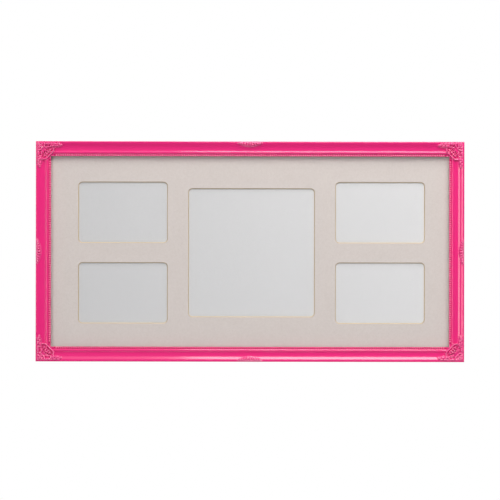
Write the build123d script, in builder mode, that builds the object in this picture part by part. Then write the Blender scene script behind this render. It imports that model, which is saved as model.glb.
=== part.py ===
from build123d import *
import os
from math import asin, cos, sin, sqrt

os.makedirs("parts", exist_ok=True)

# Collage picture frame, in millimetres. +Z is up, +X is the viewer's right and the front looks along -Y.
# The origin is the middle of the frame on the wall, where the pads on the back touch it.

# Outer size of the frame
frame_width = 700.0
frame_height = 360.0

# Layers that stand in the rebate, front to back
glazing_thickness = 2.0
mount_board_thickness = 2.4
insert_thickness = 0.3
backing_thickness = 3.0
panel_clearance = 1.0
rebate_width = 6.0

# Moulding: widths of its members across the face, from the outer edge in to the sight edge
outer_bead_width = 5.8
nosing_width = 1.7
cove_width = 9.9
inner_bead_width = 5.0
pearl_seat_width = 3.6

# Moulding: thickness of the lip in front of the rebate, and rises above the seat of the pearls
lip_thickness = 4.3
shoulder_rise = 3.4
outer_bead_rise = 5.0
outer_bead_swell = 0.2
cove_top_rise = 3.6
cove_hollow = 0.75
cove_foot_rise = 1.6
inner_bead_rise = 2.75
inner_bead_foot_rise = 1.4

# Pearl beading laid on its seat along the sight edge
pearl_width = 3.5
pearl_pitch = 3.6
pearl_rise = 1.6
pearl_web = 0.4

# Windows cut in the mount: two prints at each side of a square one, all a little off the middle of the board
print_window_width = 144.4
print_window_height = 98.0
print_window_across = 210.8
print_window_above = 66.0
square_window_width = 205.2
square_window_height = 209.0
window_corner_radius = 6.0
windows_right = 2.4
windows_low = 0.9
window_bevel_angle = 30.0

# Carved corner: plate over the mitre, a leaf along each rail, two scrolls, a fan of lobes and a rosette
corner_inset = 0.8
corner_bed_rise = 0.8
corner_plate_reach = 34.0
corner_plate_waist = 26.5
corner_plate_depth = 19.6
corner_plate_rise = 4.4
corner_leaf_start = 8.0
corner_leaf_widest = 30.0
corner_leaf_reach = 40.0
corner_leaf_width = 7.4
corner_leaf_rise = 6.2
scroll_along = 17.0
scroll_across = 8.0
scroll_radius = 4.0
scroll_rise = 7.0
rosette_along = 11.0
rosette_radius = 3.4
rosette_rise = 7.8
fan_count = 5
fan_spread = 96.0
fan_reach = 10.3
fan_widest = 7.2
fan_half_width = 1.9
fan_rise = 6.6
spine_reach = 18.6
spine_half_width = 2.6
spine_rise = 5.4
carving_sides = 8
carving_bevel = 0.7

# Leaf spray at the middle of each side
carving_inset = 0.8
spray_bed_rise = 1.8
spray_length = 42.0
spray_width = 7.6
spray_rise = 6.2
leaf_widest = 11.0
knot_length = 7.0
knot_width = 5.6
knot_rise = 7.0

# Steel wedges that hold each mitre, driven in from the back
wedge_leg = 5.5
wedge_thickness = 0.6
wedge_height = 9.0
wedge_first = 6.0
wedge_pitch = 8.5
wedges_per_mitre = 2
mitre_angle = 45.0

# Turn buttons that hold the backing in, and their screws
button_from_end = 120.0
button_from_edge = 12.5
button_reach = 13.0
button_heel_radius = 4.5
button_tip_width = 5.0
button_tip_chamfer = 1.2
button_thickness = 1.2
running_clearance = 0.1
button_shank_radius = 1.5
button_screw_depth = 9.0
button_head_radius = 3.1
button_head_height = 1.9
pilot_clearance = 0.05
shank_sides = 8
head_sides = 16

# Hangers: a folded strap and a three-cornered wire ring on each side rail
hanger_height = 90.0
hanger_from_edge = 9.5
strap_sheet = 0.8
strap_width = 9.0
strap_screw_drop = 18.0
strap_end_margin = 4.5
strap_end_chamfer = 2.5
ring_wire_radius = 1.0
ring_wire_sides = 8
ring_half_width = 8.0
ring_apex = 15.0
ring_corner_cut = 2.6
ring_rest_gap = 0.2
hanger_shank_radius = 1.75
hanger_screw_depth = 11.0
hanger_head_radius = 3.4
hanger_head_height = 1.8

# Pads that keep the back off the wall
bumper_height = 5.0
bumper_radius = 5.0
bumper_sides = 16
bumper_from_end = 42.0
bumper_from_edge = 9.5

# Sizes that follow from those above
moulding_width = outer_bead_width + cove_width + inner_bead_width + pearl_seat_width
back_land = moulding_width - rebate_width
rebate_depth = glazing_thickness + mount_board_thickness + insert_thickness + backing_thickness
seat_height = rebate_depth + lip_thickness
cove_start = outer_bead_width
cove_end = cove_start + cove_width
seat_start = cove_end + inner_bead_width
panel_width = frame_width - 2 * back_land - 2 * panel_clearance
panel_height = frame_height - 2 * back_land - 2 * panel_clearance
panel_middle = -panel_clearance
front = Vector(0, -1, 0)


def facing_plane(height, across=0.0, up=0.0, x_dir=(1, 0, 0)):
    """A plane that looks forwards, this far in front of the backs of the rails."""
    return Plane(origin=(across, -bumper_height - height, up), x_dir=x_dir, z_dir=front)


class Side:
    """One side of the frame: the way out from its middle, its length and how far out its edge is."""

    def __init__(self, name, outward, length, reach):
        self.name = name
        self.outward = outward
        self.length = length
        self.reach = reach
        self.along = outward.cross(front)

    def point(self, along, inset, height=0.0):
        """Place along the side, in from its outer edge and in front of the backs of the rails."""
        return self.along * along + self.outward * (self.reach - inset) + front * (bumper_height + height)

    def edge_middle(self):
        """Middle of the outer edge, seen from the front: across and up."""
        return self.outward.X * self.reach, self.outward.Z * self.reach

    def section(self, along=0.0, inset=0.0, height=0.0):
        """Plane across the moulding at such a place: x goes in from the outer edge, y goes forwards."""
        return Plane(origin=self.point(along, inset, height), x_dir=-self.outward, z_dir=-self.along)

    def mitres(self):
        """Planes of the two mitres, each looking into this side's rail."""
        for end in (-1, 1):
            corner = self.point(end * self.length / 2, 0)
            yield Plane(origin=corner, z_dir=self.along * -end + self.outward)


sides = [
    Side("top", Vector(0, 0, 1), frame_width, frame_height / 2),
    Side("bottom", Vector(0, 0, -1), frame_width, frame_height / 2),
    Side("left", Vector(-1, 0, 0), frame_height, frame_width / 2),
    Side("right", Vector(1, 0, 0), frame_height, frame_width / 2),
]
side_named = {side.name: side for side in sides}
corners = {
    "top_left": Vector(-1, 0, 1),
    "top_right": Vector(1, 0, 1),
    "bottom_left": Vector(-1, 0, -1),
    "bottom_right": Vector(1, 0, -1),
}


def corner_plane(toward, height):
    """Plane over a corner: x runs from the outer corner along the mitre, z looks forwards."""
    across = toward.X * frame_width / 2
    up = toward.Z * frame_height / 2
    return facing_plane(height, across, up, x_dir=-toward)


def on_mitre(along, inset):
    """A place given along one rail and in from its edge, in the corner plane's own coordinates."""
    return ((along + inset) / sqrt(2), (along - inset) / sqrt(2))


# Turn buttons: where each pivots, as a side and a distance along it
button_spacing = frame_width / 2 - button_from_end
button_stations = {
    "top_left": (side_named["top"], -button_spacing),
    "top_middle": (side_named["top"], 0.0),
    "top_right": (side_named["top"], button_spacing),
    "bottom_left": (side_named["bottom"], button_spacing),
    "bottom_middle": (side_named["bottom"], 0.0),
    "bottom_right": (side_named["bottom"], -button_spacing),
    "left": (side_named["left"], 0.0),
    "right": (side_named["right"], 0.0),
}
button_points = [side.point(along, button_from_edge) for side, along in button_stations.values()]
hanger_across = frame_width / 2 - hanger_from_edge
hanger_screw_points = [(hand * hanger_across, hanger_height - strap_screw_drop) for hand in (-1, 1)]
bumper_across = frame_width / 2 - bumper_from_end
bumper_up = frame_height / 2 - bumper_from_edge

# Wedges across the mitres: two bent strips at each corner, flush with the backs of the rails
with BuildPart() as corner_v_nails:
    for toward in corners.values():
        with BuildSketch(corner_plane(toward, 0)):
            for number in range(wedges_per_mitre):
                bend = (wedge_first + number * wedge_pitch) * sqrt(2)
                with Locations((bend, 0)):
                    with Locations(Rotation(0, 0, mitre_angle), Rotation(0, 0, -mitre_angle)):
                        Rectangle(wedge_leg, wedge_thickness, align=(Align.MIN, Align.CENTER))
        extrude(amount=wedge_height)
corner_v_nails.part.label = "corner_v_nails"
export_step(corner_v_nails.part, "parts/corner_v_nails.step")

# Corner ornaments: carved pieces let into both rails of each mitre, on a flat bed
ornaments = {side.name: [] for side in sides}
corner_bed = seat_height + corner_bed_rise
rosette_place = on_mitre(rosette_along, rosette_along)
for name, toward in corners.items():
    meeting = [side for side in sides if side.outward.dot(toward) > 0]
    bed = corner_plane(toward, corner_bed)
    with BuildPart() as ornament:
        # Plate that fills the cove and runs out along both rails
        with BuildSketch(bed):
            with BuildLine():
                heel = on_mitre(corner_inset, corner_inset)
                arm = on_mitre(corner_plate_reach, corner_inset)
                neck = on_mitre(corner_plate_reach, cove_start)
                waist = on_mitre(corner_plate_waist, (cove_start + corner_plate_depth) / 2)
                point = on_mitre(corner_plate_depth, corner_plate_depth)
                Polyline(heel, arm, neck)
                ThreePointArc(neck, waist, point)
                mirror(about=Plane.XZ)
            make_face()
        extrude(amount=corner_plate_rise - corner_bed_rise)
        # Spine from the rosette to the inner corner
        with BuildSketch(bed):
            Polygon(
                (rosette_place[0], spine_half_width),
                (rosette_place[0], -spine_half_width),
                on_mitre(spine_reach, spine_reach),
                align=None,
            )
        extrude(amount=spine_rise - corner_bed_rise)
        # Leaf along the bead of each rail
        with BuildSketch(bed):
            leaf = [
                on_mitre(corner_leaf_start, corner_inset),
                on_mitre(corner_leaf_widest, corner_inset),
                on_mitre(corner_leaf_reach, outer_bead_width / 2),
                on_mitre(corner_leaf_widest, corner_leaf_width),
                on_mitre(corner_leaf_start, corner_leaf_width),
            ]
            Polygon(*leaf, align=None)
            mirror(about=Plane.XZ)
        extrude(amount=corner_leaf_rise - corner_bed_rise)
        chamfer(ornament.faces().group_by(Axis.Y)[0].edges(), carving_bevel)
        # Pair of scrolls, one each side of the mitre
        with BuildSketch(bed):
            with Locations(on_mitre(scroll_along, scroll_across), on_mitre(scroll_across, scroll_along)):
                RegularPolygon(scroll_radius, carving_sides)
        extrude(amount=scroll_rise - corner_bed_rise)
        chamfer(ornament.faces().group_by(Axis.Y)[0].edges(), carving_bevel)
        # Fan of lobes towards the outer corner
        with BuildSketch(bed):
            with Locations(rosette_place):
                with PolarLocations(0, fan_count, 180 - fan_spread / 2, fan_spread, endpoint=True):
                    Polygon(
                        (0, 0),
                        (fan_widest, -fan_half_width),
                        (fan_reach, 0),
                        (fan_widest, fan_half_width),
                        align=None,
                    )
        extrude(amount=fan_rise - corner_bed_rise)
        # Rosette that they all spring from
        with BuildSketch(bed):
            with Locations(rosette_place):
                RegularPolygon(rosette_radius, carving_sides)
        extrude(amount=rosette_rise - corner_bed_rise)
        chamfer(ornament.faces().group_by(Axis.Y)[0].edges(), carving_bevel)
    ornament.part.label = "corner_ornament_" + name
    export_step(ornament.part, "parts/" + ornament.part.label + ".step")
    for side in meeting:
        ornaments[side.name].append(ornament.part)

# Leaf sprays: a pair of leaves and a knot, let into the outer bead at the middle of each side
spray_bed = seat_height + spray_bed_rise
spray_middle = carving_inset + spray_width / 2
for side in sides:
    side_plane = facing_plane(spray_bed, *side.edge_middle(), x_dir=side.along)
    with BuildPart() as spray:
        with BuildSketch(side_plane):
            outer_edge = -carving_inset
            inner_edge = outer_edge - spray_width
            with BuildLine():
                Polyline(
                    (0, outer_edge),
                    (leaf_widest, outer_edge),
                    (spray_length / 2, -outer_bead_width / 2),
                    (leaf_widest, inner_edge),
                    (0, inner_edge),
                )
                mirror(about=Plane.YZ)
            make_face()
        extrude(amount=spray_rise - spray_bed_rise)
        chamfer(spray.faces().group_by(Axis.Y)[0].edges(), carving_bevel)
        with BuildSketch(side_plane):
            with Locations((0, -spray_middle)):
                Rectangle(knot_length, knot_width)
        extrude(amount=knot_rise - spray_bed_rise)
        chamfer(spray.faces().group_by(Axis.Y)[0].edges(), carving_bevel)
    spray.part.label = "centre_ornament_" + side.name
    export_step(spray.part, "parts/" + spray.part.label + ".step")
    ornaments[side.name].append(spray.part)

# Rails: one moulding section run along each side, cut at the mitres and where ornaments and screws go in
for side in sides:
    with BuildPart() as rail:
        with BuildSketch(side.section()):
            with BuildLine():
                Polyline(
                    (0, seat_height + shoulder_rise),
                    (0, 0),
                    (back_land, 0),
                    (back_land, rebate_depth),
                    (moulding_width, rebate_depth),
                    (moulding_width, seat_height),
                    (seat_start, seat_height),
                    (seat_start, seat_height + inner_bead_foot_rise),
                )
                ThreePointArc(
                    (seat_start, seat_height + inner_bead_foot_rise),
                    (cove_end + inner_bead_width / 2, seat_height + inner_bead_rise),
                    (cove_end, seat_height + cove_foot_rise),
                )
                SagittaArc(
                    (cove_end, seat_height + cove_foot_rise),
                    (cove_start, seat_height + cove_top_rise),
                    -cove_hollow,
                )
                SagittaArc(
                    (cove_start, seat_height + cove_top_rise),
                    (nosing_width, seat_height + outer_bead_rise),
                    outer_bead_swell,
                )
                TangentArc(
                    (0, seat_height + shoulder_rise),
                    (nosing_width, seat_height + outer_bead_rise),
                    tangent=(0, 1),
                )
            make_face()
        extrude(amount=side.length / 2, both=True)
        for mitre in side.mitres():
            split(bisect_by=mitre, keep=Keep.TOP)
        add([corner_v_nails.part, *ornaments[side.name]], mode=Mode.SUBTRACT)
        with BuildSketch(facing_plane(0)):
            for station, along in button_stations.values():
                if station is side:
                    pivot = side.point(along, button_from_edge)
                    with Locations((pivot.X, pivot.Z)):
                        RegularPolygon(button_shank_radius + pilot_clearance, shank_sides)
        extrude(amount=button_screw_depth, mode=Mode.SUBTRACT)
        if side.outward.X:
            with BuildSketch(facing_plane(0)):
                with Locations((side.outward.X * hanger_across, hanger_height - strap_screw_drop)):
                    RegularPolygon(hanger_shank_radius + pilot_clearance, shank_sides)
            extrude(amount=hanger_screw_depth, mode=Mode.SUBTRACT)
    rail.part.label = side.name + "_rail"
    export_step(rail.part, "parts/" + rail.part.label + ".step")

# Pearl beading: a ridged strip on each seat, crossed by a valley between each pearl and the next
seat_middle = seat_start + pearl_seat_width / 2
for side in sides:
    strip_length = side.length - 2 * seat_middle
    pearl_count = round(strip_length / pearl_pitch)
    pitch = strip_length / pearl_count
    crest = pearl_web + pearl_rise
    with BuildPart() as beading:
        with BuildSketch(side.section(0, seat_middle, seat_height)):
            with BuildLine():
                Polyline(
                    (-pearl_width / 2, 0),
                    (pearl_width / 2, 0),
                    (pearl_width / 2, pearl_web),
                    (0, crest),
                    (-pearl_width / 2, pearl_web),
                    close=True,
                )
            make_face()
        extrude(amount=side.length / 2, both=True)
        inner_edge = side.point(0, seat_middle + pearl_width / 2, seat_height)
        with BuildSketch(Plane(origin=inner_edge, x_dir=-side.along, z_dir=side.outward)):
            with BuildLine():
                ends = pearl_count * pitch / 2 + pitch
                points = [(-ends, 0), (-ends, pearl_web)]
                for number in range(-1, pearl_count + 1):
                    start = -strip_length / 2 + number * pitch
                    points += [(start + pitch / 2, crest), (start + pitch, pearl_web)]
                Polyline(*points, (ends, 0), close=True)
            make_face()
        extrude(amount=pearl_width, mode=Mode.INTERSECT)
        for mitre in side.mitres():
            split(bisect_by=mitre, keep=Keep.TOP)
    beading.part.label = "pearl_beading_" + side.name
    export_step(beading.part, "parts/" + beading.part.label + ".step")

# Glazing: clear sheet against the front of the rebate, standing on the bottom rail as all the sheets do
with BuildPart() as glazing:
    with BuildSketch(facing_plane(rebate_depth, up=panel_middle)):
        Rectangle(panel_width, panel_height)
    extrude(amount=-glazing_thickness)
glazing.part.label = "glazing"
export_step(glazing.part, "parts/glazing.step")

# Mount board: card behind the glazing, with windows bevelled open towards the front
mount_back = rebate_depth - glazing_thickness - mount_board_thickness
with BuildPart() as mount_board:
    with BuildSketch(facing_plane(mount_back, up=panel_middle)):
        Rectangle(panel_width, panel_height)
    extrude(amount=mount_board_thickness)
    with BuildSketch(facing_plane(mount_back, windows_right, panel_middle - windows_low)):
        with GridLocations(2 * print_window_across, 2 * print_window_above, 2, 2):
            RectangleRounded(print_window_width, print_window_height, window_corner_radius)
        RectangleRounded(square_window_width, square_window_height, window_corner_radius)
    extrude(amount=mount_board_thickness, taper=-window_bevel_angle, mode=Mode.SUBTRACT)
mount_board.part.label = "mount_board"
export_step(mount_board.part, "parts/mount_board.step")

# Insert sheet: thin card that shows in the windows until prints go in
with BuildPart() as insert_sheet:
    with BuildSketch(facing_plane(mount_back, up=panel_middle)):
        Rectangle(panel_width, panel_height)
    extrude(amount=-insert_thickness)
insert_sheet.part.label = "insert_sheet"
export_step(insert_sheet.part, "parts/insert_sheet.step")

# Backing board: closes the rebate, flush with the backs of the rails
with BuildPart() as backing_board:
    with BuildSketch(facing_plane(0, up=panel_middle)):
        Rectangle(panel_width, panel_height)
    extrude(amount=backing_thickness)
backing_board.part.label = "backing_board"
export_step(backing_board.part, "parts/backing_board.step")

# Turn buttons: flat tabs with a round heel, which pivot on the rails and reach over the backing
for name, (side, along) in button_stations.items():
    pivot = side.point(along, button_from_edge)
    with BuildPart() as button:
        with BuildSketch(facing_plane(-running_clearance, pivot.X, pivot.Z, x_dir=-side.outward)) as plan:
            with BuildLine():
                half_tip = button_tip_width / 2
                Polyline((0, button_heel_radius), (button_reach, half_tip), (button_reach, 0))
                ThreePointArc((0, button_heel_radius), (-button_heel_radius, 0), (0, -button_heel_radius))
                Polyline((0, -button_heel_radius), (button_reach, -half_tip), (button_reach, 0))
            make_face()
            chamfer(plan.vertices().group_by(Axis.X)[-1], button_tip_chamfer)
            Circle(button_shank_radius + running_clearance, mode=Mode.SUBTRACT)
        extrude(amount=-button_thickness)
    button.part.label = "turn_button_" + name
    export_step(button.part, "parts/" + button.part.label + ".step")

# Turn button screws: shank in the rail, head just clear of the button
button_head_seat = 2 * running_clearance + button_thickness
with BuildPart() as turn_button_screws:
    with BuildSketch(facing_plane(-button_head_seat)):
        with Locations(*[(place.X, place.Z) for place in button_points]):
            RegularPolygon(button_shank_radius, shank_sides)
    extrude(amount=button_head_seat + button_screw_depth)
    with BuildSketch(facing_plane(-button_head_seat)):
        with Locations(*[(place.X, place.Z) for place in button_points]):
            RegularPolygon(button_head_radius, head_sides)
    extrude(amount=-button_head_height)
turn_button_screws.part.label = "turn_button_screws"
export_step(turn_button_screws.part, "parts/turn_button_screws.step")

# Hangers: sheet folded round the bar of the ring, with the ring leaning back against the rail
loop_bore = ring_wire_radius + running_clearance
loop_radius = loop_bore + strap_sheet
strap_thickness = 2 * strap_sheet
ring_foot = Vector(ring_half_width, 0)
ring_top = Vector(0, ring_apex)
ring_slope = (ring_top - ring_foot).normalized() * ring_corner_cut
ring_bends = [ring_foot - Vector(ring_corner_cut, 0), ring_foot + ring_slope, ring_top - ring_slope]
ring_reach = ring_bends[-1].Y
ring_lean = asin((loop_radius - ring_wire_radius - ring_rest_gap) / ring_reach)
strap_length = strap_screw_drop + strap_end_margin
for name, hand in (("left", -1), ("right", 1)):
    hinge = Vector(hand * hanger_across, loop_radius - bumper_height, hanger_height)
    with BuildPart() as strap:
        with BuildSketch(Plane(origin=hinge, x_dir=(0, 1, 0), z_dir=(1, 0, 0))):
            Circle(loop_radius)
            with Locations((-loop_radius, 0)):
                Rectangle(strap_thickness, strap_length, align=(Align.MIN, Align.MAX))
            Circle(loop_bore, mode=Mode.SUBTRACT)
        extrude(amount=strap_width / 2, both=True)
        lower_corners = strap.edges().filter_by(Axis.Y).group_by(Axis.Z)[0]
        chamfer(lower_corners, strap_end_chamfer)
        with BuildSketch(facing_plane(0)):
            with Locations((hinge.X, hanger_height - strap_screw_drop)):
                RegularPolygon(hanger_shank_radius + pilot_clearance, shank_sides)
        extrude(amount=-strap_thickness, mode=Mode.SUBTRACT)
    strap.part.label = "hanger_strap_" + name
    export_step(strap.part, "parts/" + strap.part.label + ".step")

    ring_plane = Plane(origin=hinge, x_dir=(1, 0, 0), z_dir=(0, -cos(ring_lean), -sin(ring_lean)))
    with BuildPart() as ring:
        with BuildLine(ring_plane) as half_wire:
            Polyline((0, 0), *[(bend.X, bend.Y) for bend in ring_bends], (0, ring_reach))
        middle = Plane(origin=hinge, z_dir=(1, 0, 0))
        with BuildSketch(middle):
            RegularPolygon(ring_wire_radius, ring_wire_sides)
        sweep(path=half_wire.line, transition=Transition.RIGHT)
        mirror(about=middle)
    ring.part.label = "hanger_ring_" + name
    export_step(ring.part, "parts/" + ring.part.label + ".step")

# Hanger screws: shank through the strap into the rail
with BuildPart() as hanger_screws:
    with BuildSketch(facing_plane(-strap_thickness)):
        with Locations(*hanger_screw_points):
            RegularPolygon(hanger_shank_radius, shank_sides)
    extrude(amount=strap_thickness + hanger_screw_depth)
    with BuildSketch(facing_plane(-strap_thickness)):
        with Locations(*hanger_screw_points):
            RegularPolygon(hanger_head_radius, head_sides)
    extrude(amount=-hanger_head_height)
hanger_screws.part.label = "hanger_screws"
export_step(hanger_screws.part, "parts/hanger_screws.step")

# Wall bumpers: soft pads near the ends of the top and bottom rails
with BuildPart() as wall_bumpers:
    with BuildSketch(facing_plane(0)):
        with GridLocations(2 * bumper_across, 2 * bumper_up, 2, 2):
            RegularPolygon(bumper_radius, bumper_sides)
    extrude(amount=-bumper_height)
wall_bumpers.part.label = "wall_bumpers"
export_step(wall_bumpers.part, "parts/wall_bumpers.step")
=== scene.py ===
import math

import bmesh
import bpy
import numpy as np
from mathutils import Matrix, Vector
from mathutils.geometry import tessellate_polygon


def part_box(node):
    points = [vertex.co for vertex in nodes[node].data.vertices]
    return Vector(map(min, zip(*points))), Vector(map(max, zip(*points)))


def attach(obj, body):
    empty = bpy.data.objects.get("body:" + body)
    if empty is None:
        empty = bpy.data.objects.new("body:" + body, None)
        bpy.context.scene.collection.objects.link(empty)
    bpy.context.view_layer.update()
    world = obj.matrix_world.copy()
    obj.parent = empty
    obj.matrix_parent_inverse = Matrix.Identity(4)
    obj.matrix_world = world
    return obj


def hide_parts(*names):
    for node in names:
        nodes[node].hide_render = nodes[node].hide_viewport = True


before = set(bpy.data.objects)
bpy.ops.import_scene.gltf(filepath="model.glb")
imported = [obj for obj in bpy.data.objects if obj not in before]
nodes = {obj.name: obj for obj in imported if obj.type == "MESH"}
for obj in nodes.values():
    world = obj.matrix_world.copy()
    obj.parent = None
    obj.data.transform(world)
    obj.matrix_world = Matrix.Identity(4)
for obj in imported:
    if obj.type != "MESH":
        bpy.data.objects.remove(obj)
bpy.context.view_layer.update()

MM = 0.001

# Sizes in millimetres, the same as the solids have
HALF_WIDTH = 350.0
HALF_HEIGHT = 180.0
WALL_GAP = 5.0  # from the wall to the backs of the rails
REBATE_DEPTH = 7.7
BACK_LAND = 18.3
MOULDING_WIDTH = 24.3
SEAT = 12.0  # height of the pearl seat above the backs of the rails
NOSING_END = 1.7
BEAD_END = 5.8
COVE_END = 15.7
SEAT_START = 20.7
PEARL_LINE = 22.5
MOUNT_BACK = 3.3
MOUNT_FRONT = 5.7


def linear(code):
    """Linear colour with alpha from an sRGB hex code."""
    shares = [int(code[n : n + 2], 16) / 255 for n in (1, 3, 5)]
    return [c / 12.92 if c <= 0.04045 else ((c + 0.055) / 1.055) ** 2.4 for c in shares] + [1.0]


def per_mm(size):
    """Texture scale at which one feature of a pattern is this many millimetres across."""
    return 1 / (size * MM)


def add(tree, kind, inputs=None, **settings):
    """Adds a node; each input is a value, or the output socket that feeds it."""
    node = tree.nodes.new(kind)
    for name, value in settings.items():
        setattr(node, name, value)
    for name, value in (inputs or {}).items():
        if isinstance(value, bpy.types.NodeSocket):
            tree.links.new(value, node.inputs[name])
        else:
            node.inputs[name].default_value = value
    return node


def new_material(name):
    """An empty material: its tree, its shader and the place on the object in metres."""
    material = bpy.data.materials.new(name)
    material.use_nodes = True
    tree = material.node_tree
    tree.nodes.clear()
    shader = add(tree, "ShaderNodeBsdfPrincipled")
    add(tree, "ShaderNodeOutputMaterial", {"Surface": shader.outputs[0]})
    place = add(tree, "ShaderNodeTexCoord").outputs["Object"]
    return material, tree, shader, place


def blended(tree, factor, low, high):
    """Colour that runs from low to high with the factor."""
    mix = add(tree, "ShaderNodeMix", {"Factor": factor}, data_type="RGBA")
    mix.inputs["A"].default_value = linear(low)
    mix.inputs["B"].default_value = linear(high)
    return mix.outputs["Result"]


def textured(tree, shader, pattern, roughness, strength, depth):
    """A pattern sets the roughness between two values and raises the surface by a depth in millimetres."""
    low, high = roughness
    worn = add(tree, "ShaderNodeMapRange", {"Value": pattern, "To Min": low, "To Max": high})
    tree.links.new(worn.outputs[0], shader.inputs["Roughness"])
    bump = add(tree, "ShaderNodeBump", {"Height": pattern, "Strength": strength, "Distance": depth * MM})
    tree.links.new(bump.outputs[0], shader.inputs["Normal"])


# Materials


def lacquer_surface(tree, shader, place):
    """Wet gloss with the faint orange peel of sprayed lacquer."""
    peel = add(tree, "ShaderNodeTexNoise", {"Vector": place, "Scale": per_mm(1.6), "Detail": 2.0})
    textured(tree, shader, peel.outputs[0], (0.16, 0.24), 0.12, 0.05)
    shader.inputs["IOR"].default_value = 1.5
    shader.inputs["Coat Weight"].default_value = 1.0
    shader.inputs["Coat Roughness"].default_value = 0.08


def gloss_lacquer(name, low, high):
    """Sprayed polyester lacquer: an even deep pink and a wet gloss, with broad faint clouds between coats."""
    material, tree, shader, place = new_material(name)
    coats = add(tree, "ShaderNodeTexNoise", {"Vector": place, "Scale": per_mm(38), "Detail": 3.0})
    tree.links.new(blended(tree, coats.outputs[0], low, high), shader.inputs["Base Color"])
    lacquer_surface(tree, shader, place)
    return material


def lacquer_with_painted_light(name, crest):
    """The same lacquer over carving, with painted light: by pointiness, its colour is paled on the crests as
    painted highlight and darkened in the hollows as painted shade.
    """
    flat, sharp, hollow = 0.5, 0.58, 0.4  # pointiness of a plain face, a crest and a hollow
    material, tree, shader, place = new_material(name)
    curve = add(tree, "ShaderNodeNewGeometry").outputs["Pointiness"]
    painted_highlight_share = add(tree, "ShaderNodeMapRange", {"Value": curve, "From Min": flat, "From Max": sharp})
    painted_shade_share = add(tree, "ShaderNodeMapRange", {"Value": curve, "From Min": flat, "From Max": hollow})
    # painted highlight: the crests blend towards the pale crest colour
    coat = blended(tree, painted_highlight_share.outputs[0], "#DE267B", crest)
    mix = add(tree, "ShaderNodeMix", {"Factor": painted_shade_share.outputs[0]}, data_type="RGBA")
    tree.links.new(coat, mix.inputs["A"])
    # painted shade: the hollows blend towards this deep pink
    mix.inputs["B"].default_value = linear("#C41464")
    tree.links.new(mix.outputs["Result"], shader.inputs["Base Color"])
    lacquer_surface(tree, shader, place)
    return material


def bare_wood(name, grain_axis):
    """Planed lime wood left bare at the back: pale, dull, with fine grain along the rail."""
    material, tree, shader, place = new_material(name)
    stretch = [1.0, 1.0, 1.0]
    stretch[grain_axis] = 0.06  # the grain runs on about 16 times as far along the rail as across it
    grain_place = add(tree, "ShaderNodeMapping", {"Vector": place, "Scale": stretch}).outputs[0]
    grain = add(tree, "ShaderNodeTexNoise", {"Vector": grain_place, "Scale": per_mm(2.2), "Detail": 6.0})
    grain.inputs["Distortion"].default_value = 0.6
    tree.links.new(blended(tree, grain.outputs[0], "#A98258", "#E2C79C"), shader.inputs["Base Color"])
    textured(tree, shader, grain.outputs[0], (0.6, 0.84), 0.25, 0.1)
    return material


def card_face():
    """Facing paper of the mount: warm pale grey, matt, with a fine fibre tooth."""
    material, tree, shader, place = new_material("mount_facing_paper")
    fibre = add(tree, "ShaderNodeTexNoise", {"Vector": place, "Scale": per_mm(2.4), "Detail": 5.0})
    tree.links.new(blended(tree, fibre.outputs[0], "#BDB4B1", "#CAC3C1"), shader.inputs["Base Color"])
    textured(tree, shader, fibre.outputs[0], (0.8, 0.9), 0.2, 0.06)
    shader.inputs["Specular IOR Level"].default_value = 0.25
    return material


def card_core():
    """Cut edge of the mount: tan wood pulp core, laid in layers."""
    material, tree, shader, place = new_material("mount_pulp_core")
    pulp = add(tree, "ShaderNodeTexNoise", {"Vector": place, "Scale": per_mm(0.9), "Detail": 4.0})
    tree.links.new(blended(tree, pulp.outputs[0], "#BAA588", "#CCBCA6"), shader.inputs["Base Color"])
    textured(tree, shader, pulp.outputs[0], (0.84, 0.96), 0.3, 0.1)
    shader.inputs["Specular IOR Level"].default_value = 0.2
    return material


def insert_paper():
    """Smooth grey paper whose grey lightens towards its right."""
    rise_per_metre = 0.13
    fibre_share = 0.06
    darkest, lightest = -0.02, 0.08
    material, tree, shader, place = new_material("insert_grey_paper")
    slope = add(
        tree, "ShaderNodeVectorMath", {0: place, 1: (rise_per_metre, 0.0, 0.0)}, operation="DOT_PRODUCT"
    )
    fibre = add(tree, "ShaderNodeTexNoise", {"Vector": place, "Scale": per_mm(1.8), "Detail": 4.0})
    tone = add(
        tree,
        "ShaderNodeMath",
        {0: fibre.outputs[0], 1: fibre_share, 2: slope.outputs["Value"]},
        operation="MULTIPLY_ADD",
    )
    level = add(
        tree, "ShaderNodeMapRange", {"Value": tone.outputs[0], "From Min": darkest, "From Max": lightest}
    )
    tree.links.new(blended(tree, level.outputs[0], "#BBBBBE", "#CFCFD2"), shader.inputs["Base Color"])
    textured(tree, shader, fibre.outputs[0], (0.54, 0.66), 0.1, 0.03)
    shader.inputs["Specular IOR Level"].default_value = 0.3
    return material


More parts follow.
